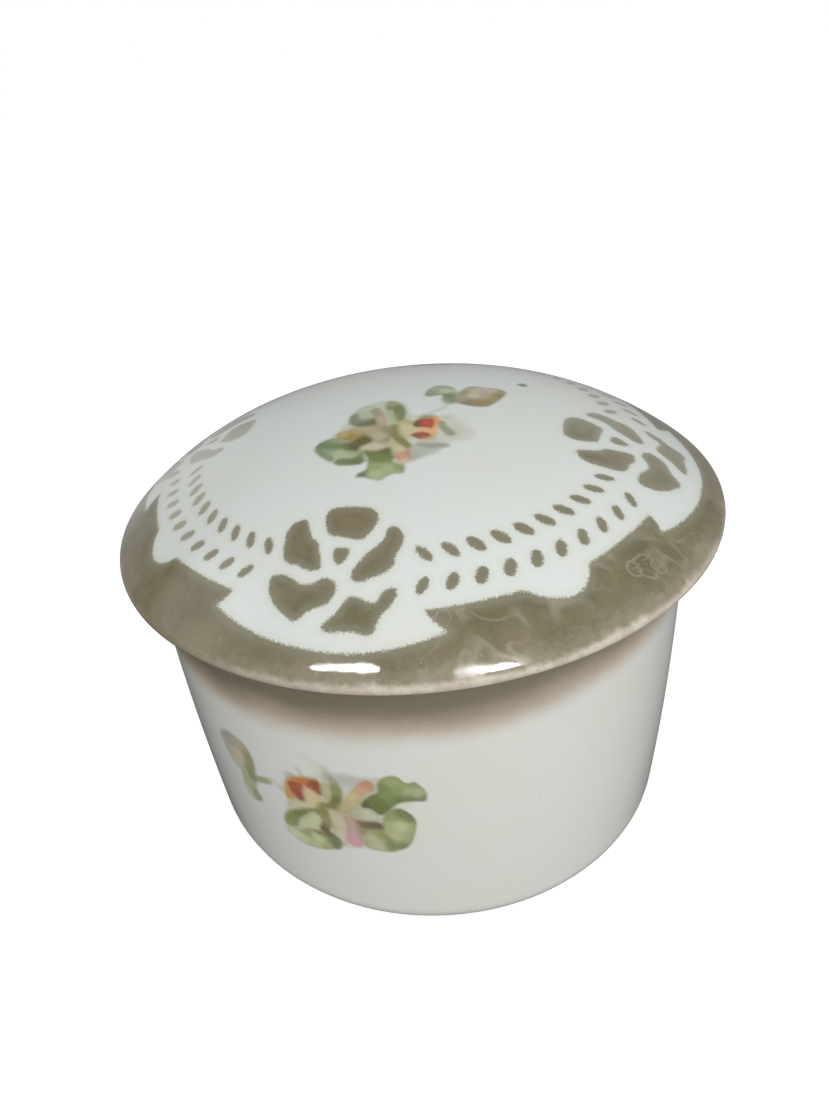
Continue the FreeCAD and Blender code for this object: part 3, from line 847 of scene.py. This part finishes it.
class Glaze(Graph):
    """The node tree of one glazed and decorated material. Grains are in mm."""

    def __init__(self, name, glaze):
        self.material = bpy.data.materials.new(name)
        self.glaze = glaze
        super().__init__(self.material, "Object")

    def noise(self, grain, detail=2.0, roughness=0.5, distortion=0.0, shift=0.0):
        """Noise from 0 to 1 with features about one grain across."""
        move = self.add("ShaderNodeVectorMath", operation="ADD")
        self.feed(self.place, move.inputs[0])
        move.inputs[1].default_value = (shift, shift * 0.7, -shift * 0.4)
        node = self.add("ShaderNodeTexNoise")
        self.feed(move.outputs[0], node.inputs["Vector"])
        node.inputs["Scale"].default_value = 1 / (grain * MM)
        node.inputs["Detail"].default_value = detail
        node.inputs["Roughness"].default_value = roughness
        node.inputs["Distortion"].default_value = distortion
        return node.outputs[0]

    def swing(self, *args, **settings):
        """Noise from -0.5 to 0.5."""
        return self.minus(self.noise(*args, **settings), 0.5)

    def specks(self, grain, size, share):
        """Sparse round specks: 1 inside one, 0 elsewhere."""
        node = self.add("ShaderNodeTexVoronoi", feature="F1")
        self.feed(self.place, node.inputs["Vector"])
        node.inputs["Scale"].default_value = 1 / (grain * MM)
        pick = self.add("ShaderNodeSeparateColor")
        self.feed(node.outputs["Color"], pick.inputs[0])
        chosen = self.math("LESS_THAN", pick.outputs[0], share)
        return self.times(self.span(node.outputs["Distance"], size, size * 0.6), chosen)

    def ridge(self, grain, width, distortion=0.8, shift=0.0):
        """Thin curly lines where a noise crosses its middle value."""
        value = self.swing(grain, 1.5, 0.5, distortion, shift)
        return self.span(self.math("ABSOLUTE", value), width, 0.0)

    def measure(self, name):
        """A number stored on the mesh."""
        return self.add("ShaderNodeAttribute", attribute_name=name).outputs["Fac"]

    def ink(self, colour):
        """The colour of a paint that looks like this (sRGB, 0 to 255) beside bare glaze."""
        return tuple(linear(colour) / linear(PAPER) * self.glaze)

    def blend(self, factor, first, second):
        node = self.add("ShaderNodeMix", data_type="RGBA")
        self.feed(factor, node.inputs[0])
        for colour, socket in ((first, node.inputs[6]), (second, node.inputs[7])):
            if not isinstance(colour, bpy.types.NodeSocket):
                colour = (*colour, 1.0)
            self.feed(colour, socket)
        return node.outputs[2]

    def ground(self):
        """Bare glaze: slightly uneven, with a few dark firing specks."""
        warm = tuple(self.glaze * WARM_GLAZE)
        colour = self.blend(self.span(self.noise(14, 3), 0.35, 0.7), tuple(self.glaze), warm)
        return self.blend(self.specks(2.6, 0.05, 0.05), colour, self.ink(FIRING_SPECK))

    def with_spray(self, colour):
        """The painted flower spray over a colour, with the grain of a printed transfer."""
        spray = self.add("ShaderNodeAttribute", attribute_name="spray")
        grain = self.span(self.noise(0.22, 2, 0.7), 0.25, 0.6, 0.86, 1.0)
        cover = self.times(spray.outputs["Alpha"], grain)
        return self.blend(cover, colour, spray.outputs["Color"])

    def gloss(self):
        """Roughness of the glaze, a little cloudy."""
        return self.span(self.noise(10, 3), 0.3, 0.7, 0.03, 0.07)

    def waves(self):
        """Height of the slow waves and fine orange peel of the glaze."""
        return self.plus(self.noise(9, 2), self.times(self.noise(1.3, 2, shift=0.2), 0.08))

    def finish(self, colour, roughness, height):
        """The glazed surface: colour, gloss and bump."""
        bump = self.add("ShaderNodeBump")
        bump.inputs["Strength"].default_value = 1.0
        bump.inputs["Distance"].default_value = BUMP_DEPTH * MM
        self.feed(height, bump.inputs["Height"])
        shader = self.add("ShaderNodeBsdfPrincipled")
        shader.inputs["IOR"].default_value = 1.5
        self.feed(colour, shader.inputs["Base Color"])
        self.feed(roughness, shader.inputs["Roughness"])
        self.feed(bump.outputs[0], shader.inputs["Normal"])
        output = self.add("ShaderNodeOutputMaterial")
        self.feed(shader.outputs[0], output.inputs[0])
        return self.material


# inks as they look beside bare glaze (sRGB, 0 to 255)
FIRING_SPECK = (150, 140, 120)
WARM_TAUPE, OLIVE_TAUPE, GREY_TAUPE = (118, 108, 82), (97, 92, 63), (125, 123, 104)
BROWN_TAUPE, PALE_TAUPE, HALO = (118, 102, 78), (144, 140, 118), (194, 193, 172)
SCRATCH, RUBBED_SPECK, DUST = (168, 160, 142), (185, 178, 160), (164, 157, 138)
CREAM, DEEP_CREAM, PIT = (196, 188, 171), (184, 172, 155), (128, 116, 96)
BAND_FRINGE, BAND_HEART = (180, 168, 151), (116, 108, 88)
# as linear light: what warms the glaze, and the unglazed clay of the seat and the foot ring
WARM_GLAZE = (1.0, 0.985, 0.95)
SEAT_CLAY = (0.70, 0.67, 0.61)
FOOT_CLAY, FOOT_GRIME = (0.66, 0.62, 0.55), (0.50, 0.45, 0.38)

BUMP_DEPTH = 0.06                   # (mm)
STENCIL_EDGE = (-0.24, 0.18)        # where the taupe starts and where it is whole (mm)
THINNEST = 0.28                     # how much of the taupe is left where it is sprayed thin
WORN_AND_SHEEN_STRIP = (2.15, 1.35)           # height above the edge: unworn, worn through (mm); the strip also stands in for the painted sheen along the lit front
DUSTY_ZONE = (4.2, 1.6)             # height above the edge: clean, dusty (mm)


def taupe_paint(graph, depth, border, speckle):
    """Warm and olive mottling, greyer at a patch's edge, browner in the petals' hearts."""
    taupe = graph.blend(graph.span(graph.noise(7, 4, 0.6), 0.3, 0.7),
                        graph.ink(WARM_TAUPE), graph.ink(OLIVE_TAUPE))
    inward = graph.plus(depth, graph.times(speckle, 0.9))
    taupe = graph.blend(graph.span(inward, 1.5, 0.1, 0.0, 0.75), taupe, graph.ink(GREY_TAUPE))
    heart = graph.times(graph.span(inward, 1.2, 3.4), graph.span(border, 0.6, 0.0))
    taupe = graph.blend(heart, taupe, graph.ink(BROWN_TAUPE))
    grain = graph.span(graph.noise(0.3, 2, 0.6, shift=0.1), 0.35, 0.75, 0.0, 0.14)
    return graph.blend(grain, taupe, graph.ink(PALE_TAUPE))


def border_scratches(graph):
    """Curly scratches in two sizes and the scuffed loops."""
    lines = graph.times(graph.ridge(7.0, 0.08),
                        graph.span(graph.noise(9, 2, shift=0.2), 0.46, 0.66))
    more = graph.times(graph.ridge(4.5, 0.06, 0.9, 0.4),
                       graph.span(graph.noise(12, 2, shift=0.5), 0.5, 0.7))
    loop = graph.plus(graph.measure("loop"), graph.times(graph.swing(1.2, 2, shift=0.7), 0.8))
    loop = graph.times(graph.span(graph.math("ABSOLUTE", loop), 0.26, 0.04), 0.9)
    return graph.math("MAXIMUM", graph.math("MAXIMUM", lines, more), loop)


def worn_and_lit_edge(graph, colour, wear_and_light):
    """The edge worn through to cream clay, with a dusty rubbed zone above it, both drawn strongest on the
    lit front right, where the pale strip also stands in for painted sheen. Also how worn.
    """
    patchy = graph.swing(1.1, 4, 0.65)
    rise = graph.plus(graph.measure("rise"), graph.times(graph.swing(6, 2, shift=0.8), 1.1))
    strip = graph.plus(rise, graph.times(patchy, 0.8))
    # the worn strip: cream clay worn through, and on the lit front right also a painted sheen
    worn = graph.times(graph.span(strip, *WORN_AND_SHEEN_STRIP), wear_and_light)
    dusty = graph.plus(rise, graph.times(patchy, 3.0))
    dusty = graph.times(graph.span(dusty, *DUSTY_ZONE, 0.0, 0.4), wear_and_light)
    cream = graph.blend(graph.span(graph.noise(2.4, 3, shift=0.6), 0.4, 0.6),
                        graph.ink(CREAM), graph.ink(DEEP_CREAM))
    pits = graph.span(graph.noise(0.5, 3, 0.7), 0.58, 0.7, 0.0, 0.6)
    cream = graph.blend(pits, cream, graph.ink(PIT))
    return graph.blend(worn, graph.blend(dusty, colour, graph.ink(DUST)), cream), worn


def lid_material():
    graph = Glaze("lid_glaze", LID_GLAZE)
    depth, border, bare, wear_and_light = (graph.measure(name)
                                 for name in ("stencil", "border", "bare", "wear_and_light"))
    # speckled edge of the sprayed stencil, with a faint halo of overspray
    speckle = graph.swing(0.36, 3, 0.7)
    ragged = graph.plus(depth, graph.times(speckle, 0.65))
    ragged = graph.plus(ragged, graph.times(graph.swing(0.22, 1, 0.5, shift=0.3), 0.7))
    whole = graph.span(graph.measure("thin"), 0.0, 1.0, 1.0, THINNEST)
    covered = graph.times(graph.span(ragged, *STENCIL_EDGE), whole)
    halo = graph.times(graph.span(depth, -1.3, 0.0), 0.4)

    # scratches, like the worn edge, are drawn strongest on the lit front right: partly real, partly
    # painted light
    scratches = graph.times(graph.times(border_scratches(graph), wear_and_light), border)
    rubbed = graph.times(graph.specks(1.5, 0.13, 0.10), border)
    taupe = taupe_paint(graph, depth, border, speckle)
    taupe = graph.blend(graph.times(scratches, 0.34), taupe, graph.ink(SCRATCH))
    taupe = graph.blend(graph.times(rubbed, 0.35), taupe, graph.ink(RUBBED_SPECK))
    colour = graph.blend(halo, graph.ground(), graph.ink(HALO))
    colour = graph.with_spray(graph.blend(covered, colour, taupe))
    # pale worn edge, wider on the lit front right: partly cream clay worn through, partly painted sheen
    colour, worn = worn_and_lit_edge(graph, colour, wear_and_light)
    colour = graph.blend(graph.times(bare, 0.8), colour, SEAT_CLAY)

    gloss = graph.plus(graph.gloss(), graph.times(scratches, 0.06))
    gloss = graph.plus(gloss, graph.times(worn, 0.14))
    gloss = graph.plus(gloss, graph.times(bare, 0.5), clamp=True)
    height = graph.plus(graph.waves(), graph.times(covered, 0.10))
    height = graph.minus(height, graph.times(scratches, 0.04))
    height = graph.plus(height, graph.times(worn, graph.times(graph.noise(0.6, 3, 0.7), 0.08)))
    return graph.finish(colour, gloss, height)


def bowl_material():
    graph = Glaze("bowl_glaze", BOWL_GLAZE)
    density, bare = graph.measure("band"), graph.measure("bare")

    # sprayed band: a pinkish fringe that thickens to taupe under the lid
    mist = graph.plus(density, graph.times(graph.swing(11, 3, shift=0.3), 0.3))
    mist = graph.plus(mist, graph.times(graph.swing(0.4, 3, 0.7), 0.12))
    on_band = graph.span(density, 0.0, 0.06)
    fringe = graph.times(graph.span(mist, 0.0, 0.55), on_band)
    heart = graph.times(graph.span(mist, 0.25, 0.95), on_band)
    colour = graph.blend(fringe, graph.ground(), graph.ink(BAND_FRINGE))
    colour = graph.with_spray(graph.blend(heart, colour, graph.ink(BAND_HEART)))
    foot = graph.blend(graph.span(graph.noise(1.2, 3, 0.7), 0.4, 0.65), FOOT_CLAY, FOOT_GRIME)
    colour = graph.blend(graph.times(bare, 0.85), colour, foot)

    gloss = graph.plus(graph.gloss(), graph.times(bare, 0.5), clamp=True)
    height = graph.plus(graph.waves(), graph.times(bare, graph.noise(0.4, 3, 0.7)))
    return graph.finish(colour, gloss, height)


# ---- the two pieces --------------------------------------------------------------------
OUTER_DOME = Dome()

# how finely the meshes are divided: (out to this radius, mm between rows) or
# (out to this radius, columns round the axis)
LID_TOP_ROWS = [(21, 0.28), (27, 0.9), (math.inf, 0.54)]    # spray, plain crown, stencil
LID_UNDER_ROWS = [(FLANGE_INNER_RADIUS - 1.5, 1.5), (SEAT_OUTER_RADIUS - 0.8, 0.6),
                  (math.inf, 0.26)]
LID_TOP_COLUMNS = [(1.6, 45), (3.5, 90), (7, 180), (14, 360), (math.inf, 720)]
PLAIN_COLUMNS = [(8, 40), (20, 120), (SEAT_OUTER_RADIUS, 240), (math.inf, 360)]

LID_SPRAY_RADIUS = 25.0
STENCIL_RADIUS = 24.0               # the stencil starts outside this

# worn loops in the border: degrees round the axis, distance from it, radius of the loop
SCUFFS = [(-47.4, 45.6, 1.5), (-50.0, 45.1, 0.9), (-45.3, 46.3, 1.0)]
# where the stencil was sprayed thin: degrees round the axis, how much, how narrowly
THIN_SIDES = [(85, 1.0, 1.35), (180, 0.66, 6)]
WEAR_AND_LIGHT_SIDE = -72                     # degrees: the edge's wear is drawn strongest at the front right, where the light falls, and faint elsewhere, the shaded left included: partly real rubbing, partly painted light and sheen
LEAST_WEAR_AND_LIGHT = 0.15
UNWORN_RISE, NO_LOOP = 8.0, 5.0     # stored where nothing wears, or no loop is near (mm)

FRONT = -90.0                       # degrees round the axis
SPRAY_SPAN = (-53.0, 2.0)           # degrees round the wall from the middle of the front
SPRAY_HEIGHTS = (17.5, 43.5)        # rows are finer between these heights
SPRAY_TURNS = (0.0, 180.0)          # one spray at the front, one at the back
FINE_STEP = 0.35                    # degrees between columns under a spray
COARSE_STEP = 1.6
SPRAY_FOOT = 15.0                   # the sprays on the wall are painted above this height
WALL_FOOT = 5.0                     # the plain turned wall starts above this

# mm between rows of the bowl
RIM_ROWS, SPRAY_ROWS, WALL_ROWS, HEEL_ROWS, FOOT_ROWS = 0.2, 0.28, 0.8, 0.5, 0.14
UNDERSIDE_ROWS, FLOOR_EDGE_ROWS, INSIDE_ROWS = 1.6, 0.9, 2.0

BAND_FOOT = 47.2                    # mean height where the sprayed band starts
BAND_TILT = 2.7                     # how much lower it starts on its low side
BAND_LOW_SIDE = -50.0               # degrees round the wall from the middle of the front
BAND_FADE = 9.5                     # from its start to full strength


def value_at(limits, radius):
    """The value beside the first limit that lies beyond a radius."""
    return next(value for limit, value in limits if radius < limit)


def on_dome(radius, height):
    return height > OUTER_DOME.height(min(radius, LID_RADIUS)) - 0.3


def lid_step(radius, height):
    """Row spacing: fine under the spray and the stencil, coarser on plain porcelain."""
    top = on_dome(radius, height) and radius < LID_RADIUS - 0.7
    return value_at(LID_TOP_ROWS if top else LID_UNDER_ROWS, radius)


def lid_angles(radius, height):
    top = on_dome(radius, height)
    return even_angles(value_at(LID_TOP_COLUMNS if top else PLAIN_COLUMNS, radius))


def bowl_step(radius, height):
    """Row spacing: fine beside the spray, the rim, the heel and the foot ring."""
    if height > RIM_HEIGHT - 1.2:
        return RIM_ROWS
    if radius > MOUTH_RADIUS + 1.6 and height > WALL_FOOT:
        return SPRAY_ROWS if SPRAY_HEIGHTS[0] < height < SPRAY_HEIGHTS[1] else WALL_ROWS
    if FOOT_INNER_RADIUS - 0.8 < radius < FOOT_OUTER_RADIUS + 0.4 and height < 2.2:
        return FOOT_ROWS
    if height < FLOOR_HEIGHT - 0.1:
        return HEEL_ROWS if radius > FOOT_OUTER_RADIUS else UNDERSIDE_ROWS
    at_floor_edge = height < FLOOR_HEIGHT + 6 and radius > FLOOR_RADIUS - 6
    return FLOOR_EDGE_ROWS if at_floor_edge else INSIDE_ROWS


def bowl_angles(radius, height):
    if radius > MOUTH_RADIUS + 0.9 and height > WALL_FOOT:
        spans = [(FRONT + turn + SPRAY_SPAN[0], FRONT + turn + SPRAY_SPAN[1])
                 for turn in SPRAY_TURNS]
        return graded_angles(spans, FINE_STEP, COARSE_STEP)
    return even_angles(value_at(PLAIN_COLUMNS, radius))


def facing(around, degrees):
    """1 towards a direction round the axis, falling to 0 on the opposite side."""
    return (1 + np.cos(around - math.radians(degrees))) / 2


def stencil_lid(piece, plan, outside):
    """Store where the stencilled taupe lies, and where it was sprayed thin."""
    patterned = outside & (np.hypot(*plan.T) > STENCIL_RADIUS)
    depth = np.full(len(plan), -DEPTH_REACH)
    border = depth.copy()
    depth[patterned], border[patterned] = stencil_depth(plan[patterned])
    bordered = ease((border + 0.2) / 0.5)
    around = np.arctan2(plan[:, 1], plan[:, 0])
    thin = np.max([amount * facing(around, side) ** narrow
                   for side, amount, narrow in THIN_SIDES], axis=0)
    attribute(piece, "stencil", depth)
    attribute(piece, "border", bordered)
    attribute(piece, "thin", thin * (1 - 0.8 * bordered))


def wear_lid(piece, plan, height, outside):
    """Store where the edge and the border are rubbed, drawn stronger on the lit front right as partly
    painted light and sheen, and where the clay is bare.
    """
    reach = np.hypot(*plan.T)
    around = np.arctan2(plan[:, 1], plan[:, 0])
    rolled = outside | (reach > DRIP_INNER_RADIUS + 0.4)
    # rubbing that grows towards the lit front right and stays faint on the shaded side: partly real wear,
    # partly painted light
    rubbed = ease((np.cos(around - math.radians(WEAR_AND_LIGHT_SIDE)) - 0.5) / 0.45)
    loops = np.full(len(plan), NO_LOOP)
    for angle, radius, size in SCUFFS:
        gap = np.hypot(*(plan - polar(math.radians(angle), radius)).T) - size
        loops = np.where(np.abs(gap) < np.abs(loops), gap, loops)
    seat = ~outside & (reach < SEAT_OUTER_RADIUS) & (reach > FLANGE_OUTER_RADIUS)
    attribute(piece, "rise", np.where(rolled, height - EDGE_HEIGHT, UNWORN_RISE))
    attribute(piece, "wear_and_light", LEAST_WEAR_AND_LIGHT + (1 - LEAST_WEAR_AND_LIGHT) * rubbed)
    attribute(piece, "loop", loops)
    attribute(piece, "bare", seat & (height > RIM_HEIGHT - 0.3))


def make_lid():
    profile = march(lid_profile(), lid_step)
    piece, points, rows = turned_mesh("lid_glazed", profile, lid_angles)
    plan, height = points[:, :2], points[:, 2]
    outside = rows <= np.argmax(profile[:, 1] < EDGE_HEIGHT + 0.02)
    stencil_lid(piece, plan, outside)
    wear_lid(piece, plan, height, outside)
    spray = np.zeros((len(points), 4))
    painted = outside & (np.hypot(*plan.T) < LID_SPRAY_RADIUS)
    spray[painted] = paint_lid_spray(plan[painted])
    attribute(piece, "spray", spray)

    piece.data.materials.append(lid_material())
    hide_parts("lid")
    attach(piece, "lid")


def make_bowl():
    profile = march(bowl_profile(), bowl_step)
    piece, points, rows = turned_mesh("bowl_glazed", profile, bowl_angles)
    height = points[:, 2]
    reach = np.hypot(points[:, 0], points[:, 1])
    from_front = np.arctan2(points[:, 0], -points[:, 1])
    wall = (rows > np.argmax(profile[:, 1])) & (reach > MOUTH_RADIUS + 0.9)

    band_foot = BAND_FOOT - BAND_TILT * np.cos(from_front - math.radians(BAND_LOW_SIDE))
    band = np.clip((height - band_foot) / BAND_FADE, 0, 1)
    attribute(piece, "band", np.where(wall, band, 0.0))
    foot = (height < 0.25) & (reach > FOOT_INNER_RADIUS) & (reach < FOOT_OUTER_RADIUS)
    attribute(piece, "bare", foot)
    spray = np.zeros((len(points), 4))
    for turn in SPRAY_TURNS:
        round_wall = (from_front - math.radians(turn) + math.pi) % math.tau - math.pi
        span = np.degrees(round_wall)
        spanned = (span > SPRAY_SPAN[0]) & (span < SPRAY_SPAN[1])
        painted = wall & spanned & (height > SPRAY_FOOT)
        place = np.stack([round_wall[painted] * BELLY_RADIUS, height[painted]], axis=1)
        spray[painted] = paint_bowl_spray(place)
    attribute(piece, "spray", spray)

    piece.data.materials.append(bowl_material())
    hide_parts("bowl")
    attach(piece, "bowl")


make_lid()
make_bowl()


# ---- floor and light -------------------------------------------------------------------
# brightness of the surroundings, added up: a direction, the cosines of the angles from it
# between which the brightness changes smoothly, and the brightness outside and inside them
SKY = [
    ((0.2, -0.9, 0.2), -1.0, 1.0, 0.02, 0.68),          # bright in front
    ((0.6, 0.0, 0.8), -0.6, 1.0, 0.0, 0.13),            # a little from the upper right
    ((-0.68, 0.72, -0.05), 0.84, 0.97, 0.0, 0.35),      # behind on the left
    ((0.1, 1.0, -0.1), 0.5, 0.95, 0.0, 0.2),            # behind
    ((-0.80, 0.14, 0.58), 0.93, 0.985, 0.0, 0.9),       # a pale patch high on the left
]
# strips overhead, mirrored as short bright streaks on the front of the rim:
# place from the middle of the lid's edge (mm), width (m), turn (degrees)
STRIPS = {"strip_left": ((-323, -433, 800), 0.052, -10.1),
          "strip_right": ((296, -503, 800), 0.042, 5.4)}
STRIP_LENGTH, STRIP_POWER = 0.31, 1.05      # (m, W)
# lamps that are not mirrored: place (mm), what they face (mm), size (m), power (W)
LAMPS = {"near_lamp": ((115, -190, 140), (0, 0, 0), 0.12, 0.1),
         "back_fill": ((-120, 460, -30), (0, 0, -30), 0.3, 0.7)}
FLOOR_GLOW = 0.68                           # makes the floor read as white paper
WHITE = (1, 1, 1, 1)


def make_floor():
    """A plain pale floor that throws no light back on the box."""
    half = 3.0
    mesh = bpy.data.meshes.new("floor")
    mesh.from_pydata([(-half, -half, 0), (half, -half, 0), (half, half, 0), (-half, half, 0)],
                     [], [(0, 1, 2, 3)])
    floor = bpy.data.objects.new("floor", mesh)
    scene.collection.objects.link(floor)
    floor.visible_diffuse = False
    floor.visible_glossy = False
    material = bpy.data.materials.new("floor")
    material.use_nodes = True
    shader = material.node_tree.nodes["Principled BSDF"]
    shader.inputs["Base Color"].default_value = (0.6, 0.6, 0.6, 1)
    shader.inputs["Roughness"].default_value = 0.9
    shader.inputs["Specular IOR Level"].default_value = 0.0
    shader.inputs["Emission Color"].default_value = WHITE
    shader.inputs["Emission Strength"].default_value = FLOOR_GLOW
    mesh.materials.append(material)


def make_world():
    """Pale surroundings that light the box, and plain white where the camera sees them."""
    world = bpy.data.worlds.new("surroundings")
    scene.world = world
    graph = Graph(world, "Generated")
    total = 0.0
    for direction, start, end, low, high in SKY:
        lean = graph.add("ShaderNodeVectorMath", operation="DOT_PRODUCT")
        graph.feed(graph.place, lean.inputs[0])
        lean.inputs[1].default_value = Vector(direction).normalized()
        total = graph.plus(total, graph.span(lean.outputs["Value"], start, end, low, high))
    lit, seen = (graph.add("ShaderNodeBackground") for _ in range(2))
    for background, strength in ((lit, total), (seen, 1.0)):
        background.inputs["Color"].default_value = WHITE
        graph.feed(strength, background.inputs["Strength"])
    path = graph.add("ShaderNodeLightPath")
    mix = graph.add("ShaderNodeMixShader")
    sources = (path.outputs["Is Camera Ray"], lit.outputs[0], seen.outputs[0])
    for source, socket in zip(sources, mix.inputs):
        graph.feed(source, socket)
    graph.feed(mix.outputs[0], graph.add("ShaderNodeOutputWorld").inputs["Surface"])


def above_edge(place):
    """A place given in mm from the middle of the lid's edge, in the frame."""
    return (Vector(place) + Vector((0, 0, EDGE_HEIGHT))) * MM


def area_light(name, place, size, power):
    """An oval light, facing down."""
    data = bpy.data.lights.new(name, "AREA")
    data.shape = "ELLIPSE"
    data.size, data.size_y = size
    data.energy = power
    light = bpy.data.objects.new(name, data)
    light.location = above_edge(place)
    scene.collection.objects.link(light)
    return light


def make_lights():
    for name, (place, width, turn) in STRIPS.items():
        strip = area_light(name, place, (STRIP_LENGTH, width), STRIP_POWER)
        strip.rotation_euler.z = math.radians(turn)
    for name, (place, target, size, power) in LAMPS.items():
        lamp = area_light(name, place, (size, size), power)
        ahead = above_edge(target) - lamp.location
        lamp.rotation_euler = ahead.to_track_quat("-Z", "Y").to_euler()
        lamp.visible_glossy = False


make_floor()
make_world()
make_lights()
scene.view_settings.view_transform = "Standard"
